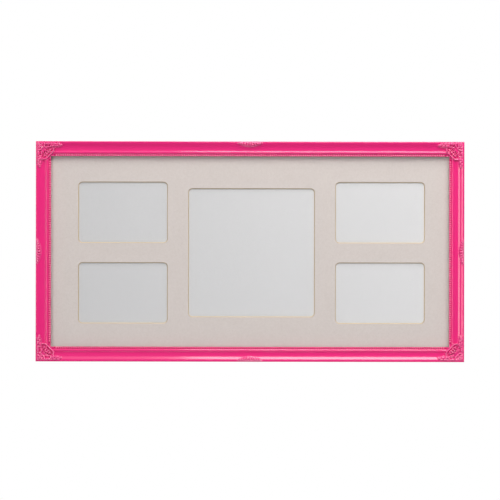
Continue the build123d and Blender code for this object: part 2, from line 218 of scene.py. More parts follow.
def clear_acrylic():
    """Cast acrylic sheet: clear, with a mirror-like surface. Light passes it without a shadow."""
    material = bpy.data.materials.new("clear_acrylic_sheet")
    material.use_nodes = True
    tree = material.node_tree
    tree.nodes.clear()
    through = add(tree, "ShaderNodeBsdfTransparent", {"Color": (1.0, 1.0, 1.0, 1.0)})
    place = add(tree, "ShaderNodeTexCoord").outputs["Object"]
    wipes = add(tree, "ShaderNodeTexNoise", {"Vector": place, "Scale": per_mm(45), "Detail": 3.0})
    mirror = add(tree, "ShaderNodeBsdfGlossy")
    textured(tree, mirror, wipes.outputs[0], (0.02, 0.05), 0.05, 0.02)
    edge_on = add(tree, "ShaderNodeFresnel", {"IOR": 1.49})
    path = add(tree, "ShaderNodeLightPath")
    leaving = add(tree, "ShaderNodeNewGeometry").outputs["Backfacing"]
    passed = add(
        tree, "ShaderNodeMath", {0: path.outputs["Is Shadow Ray"], 1: leaving}, operation="MAXIMUM"
    )
    entering = add(tree, "ShaderNodeMath", {0: 1.0, 1: passed.outputs[0]}, operation="SUBTRACT")
    share = add(
        tree, "ShaderNodeMath", {0: edge_on.outputs[0], 1: entering.outputs[0]}, operation="MULTIPLY"
    )
    sheet = add(
        tree, "ShaderNodeMixShader", {"Fac": share.outputs[0], 1: through.outputs[0], 2: mirror.outputs[0]}
    )
    add(tree, "ShaderNodeOutputMaterial", {"Surface": sheet.outputs[0]})
    return material


def hardboard():
    """Pressed fibreboard, smooth side out: warm brown with darker flecks of fibre."""
    material, tree, shader, place = new_material("pressed_hardboard")
    flecks = add(tree, "ShaderNodeTexNoise", {"Vector": place, "Scale": per_mm(3.2), "Detail": 8.0})
    flecks.inputs["Roughness"].default_value = 0.7
    spread = add(tree, "ShaderNodeMapRange", {"Value": flecks.outputs[0], "From Min": 0.3, "From Max": 0.7})
    tree.links.new(blended(tree, spread.outputs[0], "#7A5636", "#A47E55"), shader.inputs["Base Color"])
    textured(tree, shader, flecks.outputs[0], (0.45, 0.65), 0.2, 0.1)
    return material


def zinc_plate():
    """Zinc-plated steel: cool grey, half bright, with faint cloudy patches from the plating."""
    material, tree, shader, place = new_material("zinc_plated_steel")
    cloud = add(tree, "ShaderNodeTexNoise", {"Vector": place, "Scale": per_mm(3.0), "Detail": 4.0})
    tree.links.new(blended(tree, cloud.outputs[0], "#A9ACB0", "#D2D5D8"), shader.inputs["Base Color"])
    textured(tree, shader, cloud.outputs[0], (0.22, 0.42), 0.1, 0.03)
    shader.inputs["Metallic"].default_value = 1.0
    return material


def pad_rubber():
    """Moulded rubber: near black, dull, with a dusty bloom."""
    material, tree, shader, place = new_material("moulded_rubber")
    bloom = add(tree, "ShaderNodeTexNoise", {"Vector": place, "Scale": per_mm(1.5), "Detail": 5.0})
    tree.links.new(blended(tree, bloom.outputs[0], "#1E1E1F", "#343435"), shader.inputs["Base Color"])
    textured(tree, shader, bloom.outputs[0], (0.66, 0.84), 0.2, 0.08)
    return material


def pale_floor():
    """Painted studio floor: matt, and lit up to near white for the camera, with the shadow left in."""
    lit_share = 0.8
    material, tree, shader, place = new_material("pale_studio_floor")
    paint = add(tree, "ShaderNodeTexNoise", {"Vector": place, "Scale": per_mm(60), "Detail": 2.0})
    tree.links.new(blended(tree, paint.outputs[0], "#E8E8E8", "#EEEEEE"), shader.inputs["Base Color"])
    textured(tree, shader, paint.outputs[0], (0.84, 0.94), 0.1, 0.5)
    glow = add(tree, "ShaderNodeEmission", {"Color": (1.0, 1.0, 1.0, 1.0), "Strength": 1.0})
    share = add(
        tree,
        "ShaderNodeMath",
        {0: add(tree, "ShaderNodeLightPath").outputs["Is Camera Ray"], 1: lit_share},
        operation="MULTIPLY",
    )
    lit = add(
        tree, "ShaderNodeMixShader", {"Fac": share.outputs[0], 1: shader.outputs[0], 2: glow.outputs[0]}
    )
    surface = next(node for node in tree.nodes if node.type == "OUTPUT_MATERIAL")
    tree.links.new(lit.outputs[0], surface.inputs["Surface"])
    return material


lacquer = gloss_lacquer("pink_gloss_lacquer", "#DC1C72", "#E22076")
painted_shade_lacquer = gloss_lacquer("pink_painted_shade_lacquer", "#C81060", "#D01468")  # painted shade: darker lacquer on the strip between the pearls
# the carving and the pearls carry painted highlight on their crests and painted shade in their hollows
carving_finish_painted_light = lacquer_with_painted_light("pink_carving_painted_light", "#F786B3")
pearl_finish_painted_light = lacquer_with_painted_light("pink_pearls_painted_light", "#FA80AE")
wood_across = bare_wood("bare_lime_wood_across", 0)
wood_upright = bare_wood("bare_lime_wood_upright", 2)
mount_face = card_face()
mount_core = card_core()
steel = zinc_plate()
rubber = pad_rubber()


# Places on the frame


class Side:
    """One side of the frame: the way out from its middle, the way along it and its size."""

    def __init__(self, name, outward, along, half_length, reach, wood):
        self.name = name
        self.outward = np.array(outward, float)
        self.along = np.array(along, float)
        self.half_length = half_length
        self.reach = reach
        self.wood = wood

    def places(self, along, inset, height):
        """Places along the side, in from its outer edge and in front of the backs of the rails."""
        along, inset, height = np.broadcast_arrays(along, inset, height)
        flat = along[..., None] * self.along + (self.reach - inset)[..., None] * self.outward
        return np.stack([flat[..., 0], -(WALL_GAP + height), flat[..., 1]], axis=-1)


sides = [
    Side("top", (0, 1), (1, 0), HALF_WIDTH, HALF_HEIGHT, wood_across),
    Side("bottom", (0, -1), (-1, 0), HALF_WIDTH, HALF_HEIGHT, wood_across),
    Side("left", (-1, 0), (0, 1), HALF_HEIGHT, HALF_WIDTH, wood_upright),
    Side("right", (1, 0), (0, -1), HALF_HEIGHT, HALF_WIDTH, wood_upright),
]
corners = {"top_left": (-1, 1), "top_right": (1, 1), "bottom_left": (-1, -1), "bottom_right": (1, -1)}


def arc(start, middle, end, steps):
    """Points on the circle through three points."""
    a, b, c = (np.array(p, float) for p in (start, middle, end))
    centre = np.linalg.solve(2 * np.array([b - a, c - a]), [b @ b - a @ a, c @ c - a @ a])
    turns = np.unwrap([math.atan2(*(p - centre)[::-1]) for p in (a, b, c)])
    angle = np.linspace(turns[0], turns[2], steps + 1)[:, None]
    return centre + np.linalg.norm(a - centre) * np.hstack([np.cos(angle), np.sin(angle)])


def make_piece(name, verts, faces, materials, replaces, body="frame", shares=None, smooth=40.0):
    """A mesh piece from places in millimetres. shares gives each face's material when there are several."""
    mesh = bpy.data.meshes.new(name)
    mesh.from_pydata((np.asarray(verts, float) * MM).tolist(), [], [list(map(int, f)) for f in faces])
    for material in materials:
        mesh.materials.append(material)
    if shares is not None:
        mesh.polygons.foreach_set("material_index", np.asarray(shares, np.int32))
    shell = bmesh.new()
    shell.from_mesh(mesh)
    bmesh.ops.recalc_face_normals(shell, faces=shell.faces)
    shell.to_mesh(mesh)
    shell.free()
    mesh.shade_smooth()
    mesh.set_sharp_from_angle(angle=math.radians(smooth))
    piece = bpy.data.objects.new(name, mesh)
    bpy.context.scene.collection.objects.link(piece)
    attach(piece, body)
    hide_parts(*replaces)
    return piece


# Moulding


def bowed(start, end, bow, steps):
    """Points on an arc between two points. It bows out to the front by this much, or in if negative."""
    start, end = np.array(start, float), np.array(end, float)
    run = (end - start) / np.linalg.norm(end - start)
    return arc(start, (start + end) / 2 + bow * np.array([-run[1], run[0]]), end, steps)


edge_top = (0.0, SEAT + 3.4)
nosing_top = (NOSING_END, SEAT + 5.0)
cove_top = (BEAD_END, SEAT + 3.6)
cove_foot = (COVE_END, SEAT + 1.6)
inner_bead_crown = (18.2, SEAT + 2.75)
inner_bead_foot = (SEAT_START, SEAT + 1.4)
nosing_bow, bead_bow, cove_bow = 0.5, 0.2, -0.75
moulding_face = np.vstack(
    [
        bowed(edge_top, nosing_top, nosing_bow, 10),
        bowed(nosing_top, cove_top, bead_bow, 12)[1:],
        bowed(cove_top, cove_foot, cove_bow, 24)[1:],
        arc(cove_foot, inner_bead_crown, inner_bead_foot, 26)[1:],
        [(SEAT_START, SEAT), (MOULDING_WIDTH, SEAT)],
    ]
)
back_clearance = 0.06  # lets the heads of the corner nails show at the back
moulding_back = [
    (MOULDING_WIDTH, REBATE_DEPTH),
    (BACK_LAND, REBATE_DEPTH),
    (BACK_LAND, back_clearance),
    (0.0, back_clearance),
]
section = np.vstack([moulding_face, moulding_back])
lacquered_runs = len(moulding_face)  # the face, and the edge that the sheets are seen through


def face_height(inset):
    """Height of the bare moulding's face at a distance in from the outer edge."""
    spacing = np.arange(len(moulding_face)) * 1e-6  # keeps the upright step at the seat in order
    return np.interp(inset, moulding_face[:, 0] + spacing, moulding_face[:, 1])


section_inset, section_height = section.T
count = len(section)
runs = [(n, (n + 1) % count, (n + 1) % count + count, n + count) for n in range(count)]
ends = [tuple(range(count)), tuple(range(2 * count - 1, count - 1, -1))]
bare = [0 if n < lacquered_runs or n == count - 1 else 1 for n in range(count)]
for side in sides:
    mitre = side.half_length - section_inset
    rings = [side.places(end * mitre, section_inset, section_height) for end in (-1, 1)]
    make_piece(
        side.name + "_moulding",
        np.vstack(rings),
        runs + ends,
        [lacquer, side.wood],
        [side.name + "_rail"],
        shares=bare + [1, 1],
        smooth=50.0,
    )

# Pearl beading

PEARL_PITCH = 3.6
PEARL_RISE = 1.6
PEARL_HALF_SHARE = 0.35  # of the pitch, from a pearl's middle to its end
PEARL_HALF_WIDTH = 1.5
PEARL_LEAN = 0.9  # of the crests towards the sight edge
PEARL_START = 31.0  # from the outer corner
PEARL_FOOT = 0.25  # height of the widest part of a pearl above the seat
WEB_HEIGHT = 0.9 * PEARL_FOOT  # of the flat strip that carries the pearls
WEB_HALF_WIDTH = 0.8 * PEARL_HALF_WIDTH
PEARL_RINGS = 8
PEARL_SEGMENTS = 16
tilt = np.linspace(0, math.pi, PEARL_RINGS + 1)[1:-1, None]
turn = np.linspace(0, 2 * math.pi, PEARL_SEGMENTS, endpoint=False)[None, :]
pearl_shape = np.stack(
    [np.sin(tilt) * np.cos(turn), np.sin(tilt) * np.sin(turn), np.cos(tilt) + 0 * turn], axis=-1
).reshape(-1, 3)
pearl_shape = np.vstack([[0, 0, 1], pearl_shape, [0, 0, -1]])
pearl_faces = []
for n in range(PEARL_SEGMENTS):
    after = (n + 1) % PEARL_SEGMENTS
    pearl_faces.append((0, 1 + n, 1 + after))
    for ring in range(PEARL_RINGS - 2):
        low = 1 + ring * PEARL_SEGMENTS
        high = low + PEARL_SEGMENTS
        pearl_faces.append((low + n, high + n, high + after, low + after))
    last = 1 + (PEARL_RINGS - 2) * PEARL_SEGMENTS
    pearl_faces.append((last + n, len(pearl_shape) - 1, last + after))
pearl_along, pearl_across, pearl_up = pearl_shape.T
pearl_inset = PEARL_LINE + pearl_across * PEARL_HALF_WIDTH + np.clip(pearl_up, 0, 1) * PEARL_LEAN
pearl_height = SEAT + PEARL_FOOT + pearl_up * np.where(pearl_up > 0, PEARL_RISE, PEARL_FOOT)
web = np.array([(-1, 0.0), (1, 0.0), (1, WEB_HEIGHT), (-1, WEB_HEIGHT)])
web_inset = PEARL_LINE + web[:, 0] * WEB_HALF_WIDTH

for side in sides:
    half_run = side.half_length - PEARL_LINE
    count = round(2 * half_run / PEARL_PITCH)
    pitch = 2 * half_run / count
    first = math.ceil((PEARL_START - PEARL_LINE) / pitch)  # the corner carvings cover the rest
    verts = []
    faces = []
    for n in range(first, count + 1 - first):
        spot = -half_run + n * pitch
        start = len(verts) * len(pearl_shape)
        verts.append(side.places(spot + pearl_along * pitch * PEARL_HALF_SHARE, pearl_inset, pearl_height))
        faces += [tuple(v + start for v in face) for face in pearl_faces]
    web_start = len(verts) * len(pearl_shape)
    for end in (-1, 1):
        verts.append(side.places(end * (side.half_length - web_inset), web_inset, SEAT + web[:, 1]))
    web_rings = [(n, (n + 1) % 4, (n + 1) % 4 + 4, n + 4) for n in range(4)] + [(0, 1, 2, 3), (7, 6, 5, 4)]
    web_faces = [tuple(web_start + v for v in ring) for ring in web_rings]
    # the strip between the pearls takes the darker lacquer as painted shade
    make_piece(
        side.name + "_pearls",
        np.vstack(verts),
        faces + web_faces,
        [pearl_finish_painted_light, painted_shade_lacquer],
        ["pearl_beading_" + side.name],
        shares=[0] * len(faces) + [1] * len(web_faces),
    )

# Carving: reliefs built up from rounded ridges over the face of the moulding

CARVING_STEP = 0.25
CARVING_TOP = SEAT + 7.75
CARVING_START = 0.75  # from the outer edge
HIDDEN_RIM = 0.3  # how far a relief's rim goes under the face of the moulding
CUT_MARGIN = 0.2  # the mesh of a relief ends where its top is this far under the face
CORNER_BED = SEAT + 0.8
SPRAY_BED = SEAT + 1.8
GROOVE_SHARE = 0.3  # of a ridge's half width


def curve_through(points, steps=7):
    """A smooth line through the points."""
    p = np.asarray(points, float)
    p = np.vstack([2 * p[0] - p[1], p, 2 * p[-1] - p[-2]])
    t = np.linspace(0, 1, steps, endpoint=False)[:, None]
    runs = [
        0.5 * (2 * b + (c - a) * t + (2 * a - 5 * b + 4 * c - d) * t**2 + (3 * b - a - 3 * c + d) * t**3)
        for a, b, c, d in zip(p, p[1:], p[2:], p[3:])
    ]
    return np.vstack(runs + [p[-2:-1]])


def ridge(spread, path, half_widths, rises, groove=0.0):
    """Heights of a rounded ridge along a path. Half widths and rises run from its start to its end."""
    path = np.asarray(path, float)
    gone = np.concatenate([[0], np.cumsum(np.linalg.norm(np.diff(path, axis=0), axis=1))])
    share = gone / gone[-1]
    widths = np.interp(share, np.linspace(0, 1, len(half_widths)), half_widths)
    crests = np.interp(share, np.linspace(0, 1, len(rises)), rises)
    heights = np.zeros(spread.shape[:2])
    for n in range(len(path) - 1):
        run = path[n + 1] - path[n]
        t = np.clip(((spread - path[n]) @ run) / (run @ run), 0, 1)
        gap = np.linalg.norm(spread - path[n] - t[..., None] * run, axis=-1)
        reach = gap / (widths[n] + t * (widths[n + 1] - widths[n]))
        crest = crests[n] + t * (crests[n + 1] - crests[n])
        crown = crest * np.sqrt(np.clip(1 - reach**2, 0, None))
        heights = np.maximum(heights, crown - groove * np.exp(-((reach / GROOVE_SHARE) ** 2)))
    return heights


def inside_distance(spread, outline):
    """Distance of each point from an outline, positive inside it."""
    outline = np.asarray(outline, float)
    nearest = np.full(spread.shape[:2], np.inf)
    inside = np.zeros(spread.shape[:2], bool)
    for start, end in zip(outline, np.roll(outline, -1, axis=0)):
        run = end - start
        t = np.clip(((spread - start) @ run) / (run @ run), 0, 1)
        nearest = np.minimum(nearest, np.linalg.norm(spread - start - t[..., None] * run, axis=-1))
        crosses = (start[1] > spread[..., 1]) != (end[1] > spread[..., 1])
        if crosses.any():
            at = start[0] + (spread[..., 1] - start[1]) / (run[1] or 1e-9) * run[0]
            inside ^= crosses & (spread[..., 0] < at)
    return np.where(inside, nearest, -nearest)


def carved_block(spread, top, bare, bed):
    """Closed mesh of a relief: its top where that stands clear of the bare moulding, walls and flat bed."""
    proud = top > bare - CUT_MARGIN
    cells = proud[:-1, :-1] | proud[1:, :-1] | proud[:-1, 1:] | proud[1:, 1:]
    used = np.zeros(top.shape, bool)
    for down, right in ((0, 0), (1, 0), (0, 1), (1, 1)):
        used[down : down + cells.shape[0], right : right + cells.shape[1]] |= cells
    number = np.full(top.shape, -1)
    number[used] = np.arange(used.sum())
    count = int(used.sum())
    upper = np.column_stack([spread[used], top[used]])
    lower = np.column_stack([spread[used], np.full(count, bed)])
    faces = []
    for i, j in zip(*np.nonzero(cells)):
        ring = [number[i, j], number[i + 1, j], number[i + 1, j + 1], number[i, j + 1]]
        faces.append(ring)
        faces.append([v + count for v in reversed(ring)])
        neighbours = [(i, j - 1), (i + 1, j), (i, j + 1), (i - 1, j)]
        for edge, (ni, nj) in enumerate(neighbours):
            open_edge = not (0 <= ni < cells.shape[0] and 0 <= nj < cells.shape[1]) or not cells[ni, nj]
            if open_edge:
                a, b = ring[edge], ring[(edge + 1) % 4]
                faces.append([a, a + count, b + count, b])
    return np.vstack([upper, lower]), faces


# Corner: an almond medallion across the inner corner, in a moat with a rim outside, leaves that fan from
# behind it to the outer corner, and a chain of buds along each arm. Places are along one rail and in from its
# edge; the other arm is the mirror image.
CORNER_REACH = 44.6
corner_axis = np.arange(CARVING_START, CORNER_REACH, CARVING_STEP)
corner_spread = np.stack(np.meshgrid(corner_axis, corner_axis, indexing="ij"), axis=-1)
corner_inset = corner_spread.min(axis=-1)
corner_bare = face_height(corner_inset)
medallion = np.array([18.3, 18.3])
outward_way = np.array([-1.0, -1.0]) / math.sqrt(2)
across_way = np.array([1.0, -1.0]) / math.sqrt(2)
arm_outline = [(2.2, 2.2), (26.6, 2.2), (28.4, 4.6), (30.0, 8.4), (30.9, 12.6), (30.5, 16.6), (27.6, 20.2)]
inner_point = (23.7, 23.7)
corner_outline = arm_outline + [inner_point] + [(b, a) for a, b in arm_outline[:0:-1]]
# Each feature is a ridge: its path, half widths, rises and the depth of the groove along it
arm_features = [
    ([medallion + 3.2 * outward_way, medallion + 3.8 * outward_way], (1.7, 1.7), (2.3, 2.3), 0.0),
    (
        curve_through([(28.4, 6.8), (29.6, 11.2), (29.2, 15.8), (26.6, 19.0), (22.6, 22.6)]),
        (0.9, 1.2, 1.0),
        (1.1, 1.5, 1.3),
        0.0,
    ),
    ([(17.2, 10.2), (21.2, 9.0)], (1.3, 1.2), (1.9, 1.5), 0.0),
    ([(18.4, 4.6), (21.8, 4.4)], (2.0, 1.9), (2.2, 2.0), 0.0),
    (curve_through([(12.6, 10.2), (14.2, 7.4), (15.0, 4.4)]), (0.9, 1.7, 1.2), (1.3, 2.1, 1.4), 0.0),
    (curve_through([(9.4, 8.6), (10.0, 6.0), (10.4, 3.8)]), (0.8, 1.6, 1.0), (1.2, 2.0, 1.2), 0.0),
    ([(10.8, 10.8), (7.0, 7.0), (3.6, 3.6)], (1.8, 1.9, 1.0), (2.0, 2.2, 1.2), 0.9),
    (curve_through([(23.6, 9.6), (24.9, 7.0), (25.4, 4.4)]), (0.8, 1.3, 0.8), (1.2, 1.8, 1.2), 0.0),
]
high_bud, low_bud = 2.6, 2.0  # rises of the buds that lie inwards and outwards on an arm
bud_half_length, bud_half_width = 1.2, 1.9
for along, inset, rise in (
    (28.4, 7.6, high_bud),
    (31.2, 4.5, low_bud),
    (34.4, 7.6, high_bud),
    (37.2, 4.5, low_bud),
    (40.4, 6.7, high_bud),
):
    bud = [(along - bud_half_length, inset), (along + bud_half_length, inset)]
    arm_features.append((bud, (bud_half_width, bud_half_width), (rise, rise), 0.0))
lobe_reach = {6.1: 1.1, 2.05: 1.7}  # from the medallion's middle to a lobe's, and across the lobe
lobe_start = 0.9
for step, reach in lobe_reach.items():
    lobe = medallion + step * across_way
    near, far = lobe_start * outward_way, reach * outward_way
    arm_features.append(([lobe - far, lobe - near], (1.5, 1.2), (1.9, 1.6), 0.0))
    arm_features.append(([lobe + near, lobe + far], (1.2, 1.5), (1.6, 1.9), 0.0))
    arm_features.append(([lobe - outward_way, lobe + outward_way], (0.9, 0.9), (1.1, 1.1), 0.0))
plate_height = SEAT + 3.6
plate_least_rise = 0.8
plate_lap, plate_slope = 0.1, 1.3  # how far the plate's edge goes past its outline, and how wide it slopes
moat_depth, moat_half_width = 1.9, 1.1
pit_depth, pit_radius, pit_half_run = 0.8, 1.3, 0.2
edge_share = np.clip((inside_distance(corner_spread, corner_outline) + plate_lap) / plate_slope, 0, 1)
edge_share = edge_share * edge_share * (3 - 2 * edge_share)
plate = np.maximum(plate_height, corner_bare + plate_least_rise)
corner_ground = corner_bare - HIDDEN_RIM + (plate - corner_bare + HIDDEN_RIM) * edge_share
arm_line = curve_through([(27.5, 6.6), (34.0, 6.9), (42.4, 6.2)])
arm_dome = ridge(corner_spread, arm_line, (3.9, 3.8, 1.8), (1.3, 1.3, 0.7))
corner_ground += np.maximum(arm_dome, arm_dome.T) * (1 - edge_share)
half_moat = curve_through(
    [(21.0, 21.0), (24.4, 17.9), (26.6, 14.6), (26.0, 11.4), (23.0, 11.6), (19.0, 13.4), (15.6, 15.6)]
)
moat = ridge(corner_spread, half_moat, (moat_half_width, moat_half_width), (moat_depth, moat_depth))
corner_ground -= np.maximum(moat, moat.T)
pits = [medallion + step * across_way for step in (-4.0, 0.0, 4.0)]
pits += [np.array(place) for place in ((22.6, 7.2), (7.2, 22.6), (17.0, 7.6), (7.6, 17.0))]
for pit in pits:
    pit_run = [pit - pit_half_run, pit + pit_half_run]
    corner_ground -= ridge(corner_spread, pit_run, (pit_radius, pit_radius), (pit_depth, pit_depth))
corner_relief = np.max([ridge(corner_spread, *feature) for feature in arm_features], axis=0)
corner_relief = np.maximum(corner_relief, corner_relief.T)
# Smooth strip round the sight corner, in line with the pearls
strip_start, strip_end, strip_reach = 20.9, 24.2, 29.5
strip_rise, strip_slope = 1.9, 2.8
on_strip = (corner_inset < strip_end) & (corner_spread.max(axis=-1) < strip_reach)
sight_strip = np.where(on_strip, strip_rise * np.clip((corner_inset - strip_start) / strip_slope, 0, 1), 0)
corner_top = np.minimum(corner_ground + np.maximum(corner_relief, sight_strip), CARVING_TOP)
corner_mesh, corner_faces = carved_block(corner_spread, corner_top, corner_bare, CORNER_BED)
for name, (right, up) in corners.items():
    places = np.column_stack(
        [
            right * (HALF_WIDTH - corner_mesh[:, 0]),
            -(WALL_GAP + corner_mesh[:, 2]),
            up * (HALF_HEIGHT - corner_mesh[:, 1]),
        ]
    )
    make_piece(
        name + "_carving",
        places,
        corner_faces,
        [carving_finish_painted_light],
        ["corner_ornament_" + name],
        smooth=75.0,
    )

# Spray at the middle of each side: a domed half almond, cut into leaves that fan out from its middle
SPRAY_HALF_LENGTH = 21.0
SPRAY_REACH = 22.0  # of the carved area along the rail, past the tips
SPRAY_DEPTH = 10.8  # of the carved area in from the outer edge
spray_along = np.arange(-SPRAY_REACH, SPRAY_REACH + 0.01, CARVING_STEP)
spray_across = np.arange(CARVING_START, SPRAY_DEPTH, CARVING_STEP)
spray_spread = np.stack(np.meshgrid(spray_along, spray_across, indexing="ij"), axis=-1)
spray_bare = face_height(spray_spread[..., 1])
spray_share = np.clip(1 - (spray_spread[..., 0] / SPRAY_HALF_LENGTH) ** 2, 0, 1)  # of full width and height
spray_outer_edge = 1.6
tip_edge, spray_swell = 3.4, 6.0  # inner edge at the tips, and how much further in it lies at the middle
crest_share = 0.46  # of the way from the outer edge to the inner one
crest_rise, crest_swell = 4.7, 0.4  # above the seat at the tips, and how much more at the middle
foot_step = 0.6  # of the dome's edge above the moulding
roundness = 0.4
leaf_fade = 0.3  # share of the climb over which the leaves grow to their full height
spray_inner_edge = tip_edge + spray_swell * spray_share
spray_crest = spray_outer_edge + crest_share * (spray_inner_edge - spray_outer_edge)
crest_height = SEAT + crest_rise + crest_swell * spray_share
outer_climb = (spray_spread[..., 1] - spray_outer_edge) / (spray_crest - spray_outer_edge)
inner_climb = (spray_inner_edge - spray_spread[..., 1]) / (spray_inner_edge - spray_crest)
climb = np.clip(np.minimum(outer_climb, inner_climb), 0, 1)
climb = (1 - roundness) * climb + roundness * np.sin(np.pi / 2 * climb)
foot_height = foot_step + np.where(
    outer_climb < 1, face_height(spray_outer_edge), face_height(spray_inner_edge)
)
spray_dome = np.where(spray_share > 0, foot_height + (crest_height - foot_height) * climb, 0)
half_spray = [
    ([(0.0, 4.4), (0.0, 6.6)], (1.7, 1.7), (2.6, 2.6), 0.0),
    ([(0.0, 2.8), (19.0, 2.6)], (1.3, 0.8), (1.5, 0.7), 0.0),
]
for end in (4.6, 9.0, 13.4, 17.4):  # leaves lean out from the middle and get shorter towards the tip
    leaf = curve_through([(0.78 * end + 0.4, 3.6), (0.9 * end, 5.4 - 0.1 * end), (end, 8.6 - 0.24 * end)])
    half_spray.append((leaf, (0.9, 1.6, 0.9), (1.5, 2.6, 1.7), 0.0))
spray_leaves = np.max([ridge(spray_spread, *feature) for feature in half_spray], axis=0)
spray_leaves = np.maximum(spray_leaves, spray_leaves[::-1])
spray_top = np.where(climb > 0, spray_dome + spray_leaves * np.clip(climb / leaf_fade, 0, 1), 0)
spray_top = np.clip(spray_top, spray_bare - HIDDEN_RIM, CARVING_TOP)
spray_mesh, spray_faces = carved_block(spray_spread, spray_top, spray_bare, SPRAY_BED)
for side in sides:
    make_piece(
        side.name + "_spray",
        side.places(spray_mesh[:, 0], spray_mesh[:, 1], spray_mesh[:, 2]),
        spray_faces,
        [carving_finish_painted_light],
        ["centre_ornament_" + side.name],
        smooth=75.0,
    )

# Mount: windows cut at a bevel through the facing paper and the core

BEVEL = 1.386  # 30 degrees through the card
WINDOW_CORNER = 6.0
WINDOWS_MIDDLE = (2.4, -1.9)  # of all five windows, from the middle of the frame
SQUARE_WINDOW = (205.2, 209.0)
SMALL_WINDOW = (144.4, 98.0)
SMALL_RIGHT, SMALL_UP = 210.8, 66.0  # of a small window's middle from the square window's
windows = [(x, z, *SMALL_WINDOW) for x in (-SMALL_RIGHT, SMALL_RIGHT) for z in (SMALL_UP, -SMALL_UP)]
windows.append((0.0, 0.0, *SQUARE_WINDOW))


def window_ring(x, z, width, height, radius, steps=10):
    """Outline of a window with round corners, anticlockwise from its right-hand side."""
    ring = []
    for quarter in range(4):
        angles = np.radians(90 * quarter + np.linspace(0, 90, steps + 1))
        middle_x = x + (width / 2 - radius) * (1 if quarter in (0, 3) else -1)
        middle_z = z + (height / 2 - radius) * (1 if quarter in (0, 1) else -1)
        ring += [(middle_x + radius * math.cos(t), middle_z + radius * math.sin(t)) for t in angles]
    return ring


low, high = (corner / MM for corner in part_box("mount_board"))
sheet_edge = [(low.x, low.z), (high.x, low.z), (high.x, high.z), (low.x, high.z)]
mount_verts = []
mount_faces = []
mount_shares = []
levels = []
for height, spread in ((MOUNT_BACK, 0.0), (MOUNT_FRONT, BEVEL)):
    outlines = [sheet_edge]
    for x, z, width, tall in windows:
        middle = (x + WINDOWS_MIDDLE[0], z + WINDOWS_MIDDLE[1])
        outlines.append(window_ring(*middle, width + 2 * spread, tall + 2 * spread, WINDOW_CORNER + spread))
    start = len(mount_verts)
    levels.append((start, [len(ring) for ring in outlines]))
    loops = [[Vector((x, z, 0)) for x, z in ring] for ring in outlines]
    for triangle in tessellate_polygon(loops):
        mount_faces.append([start + v for v in triangle])
        mount_shares.append(0)
    mount_verts += [(x, -(WALL_GAP + height), z) for ring in outlines for x, z in ring]
offset = 0
for size in levels[0][1]:
    for n in range(size):
        back = [levels[0][0] + offset + k for k in (n, (n + 1) % size)]
        mount_faces.append(back + [levels[1][0] + offset + k for k in ((n + 1) % size, n)])
        mount_shares.append(1)
    offset += size
make_piece(
    "windowed_mount",
    mount_verts,
    mount_faces,
    [mount_face, mount_core],
    ["mount_board"],
    shares=mount_shares,
    smooth=30.0,
)

# Screws with domed heads and a cross recess

HEAD_RINGS = 18
HEAD_SEGMENTS = 64


def screw(x, z, seat, radius, height, shank_radius, shank_length):
    """Places and faces of a screw driven in from the back: its head above the seat, its shank below."""
    rim_share = 0.45  # of the head's height, where its dome starts
    recess_share = 0.55  # of the head's height
    slot_half, slot_reach, slot_slope = 0.17 * radius, 0.62 * radius, 0.12 * radius
    reach = radius * np.sin(np.linspace(0, 1, HEAD_RINGS + 1)[1:] * math.pi / 2)
    turns = np.linspace(0, 2 * math.pi, HEAD_SEGMENTS, endpoint=False)
    r, t = np.meshgrid(reach, turns, indexing="ij")
    dome = height * (rim_share + (1 - rim_share) * np.sqrt(np.clip(1 - (r / radius) ** 2, 0, None)))
    across, up = r * np.cos(t), r * np.sin(t)
    arm = np.minimum(np.abs(across), np.abs(up)) - slot_half
    far = np.maximum(np.abs(across), np.abs(up)) - slot_reach
    recess = np.clip(-np.maximum(arm, far) / slot_slope, 0, 1) * recess_share * height
    head = np.stack([across, dome - recess, up], axis=-1).reshape(-1, 3)
    verts = [(0.0, height - recess_share * height, 0.0), *head]
    faces = [(0, 1 + n, 1 + (n + 1) % HEAD_SEGMENTS) for n in range(HEAD_SEGMENTS)]
    profile = [(radius, 0.0), (shank_radius, 0.0), (shank_radius, -shank_length)]
    for ring_radius, level in profile:
        verts += [(ring_radius * math.cos(a), level, ring_radius * math.sin(a)) for a in turns]
    rings = HEAD_RINGS + len(profile)
    for ring in range(rings - 1):
        low, high = 1 + ring * HEAD_SEGMENTS, 1 + (ring + 1) * HEAD_SEGMENTS
        for n in range(HEAD_SEGMENTS):
            after = (n + 1) % HEAD_SEGMENTS
            faces.append((low + n, high + n, high + after, low + after))
    last = 1 + (rings - 1) * HEAD_SEGMENTS
    faces.append(tuple(last + n for n in range(HEAD_SEGMENTS)))
    return np.array(verts) + (x, seat, z), faces


def screws(name, spots, node, **size):
    """A set of the same screws as one piece."""
    verts, faces = [], []
    for x, z in spots:
        start = sum(len(v) for v in verts)
        places, rings = screw(x, z, **size)
        verts.append(places)
        faces += [tuple(v + start for v in face) for face in rings]
    make_piece(name, np.vstack(verts), faces, [steel], [node], smooth=35.0)


BUTTON_LINE = 167.5  # of the buttons on the top and bottom rails, from the middle
BUTTON_SIDE_LINE = 337.5
BUTTON_SPACING = 230.0
button_spots = [
    (x, z) for z in (BUTTON_LINE, -BUTTON_LINE) for x in (-BUTTON_SPACING, 0.0, BUTTON_SPACING)
]
button_spots += [(-BUTTON_SIDE_LINE, 0.0), (BUTTON_SIDE_LINE, 0.0)]
screws(
    "turn_button_screw_set",
    button_spots,
    "turn_button_screws",
    seat=-WALL_GAP + 1.4,
    radius=3.0,
    height=1.9,
    shank_radius=1.5,
    shank_length=4.0,
)
HANGER_LINE = 340.5
HANGER_UP = 90.0
HANGER_SCREW_UP = HANGER_UP - 18.0
screws(
    "hanger_screw_set",
    [(-HANGER_LINE, HANGER_SCREW_UP), (HANGER_LINE, HANGER_SCREW_UP)],
    "hanger_screws",
    seat=-WALL_GAP + 1.6,
    radius=3.3,
    height=1.8,
    shank_radius=1.75,
    shank_length=4.0,
)

# Hanger rings: one bent wire each, in the plane in which it leans on the rail

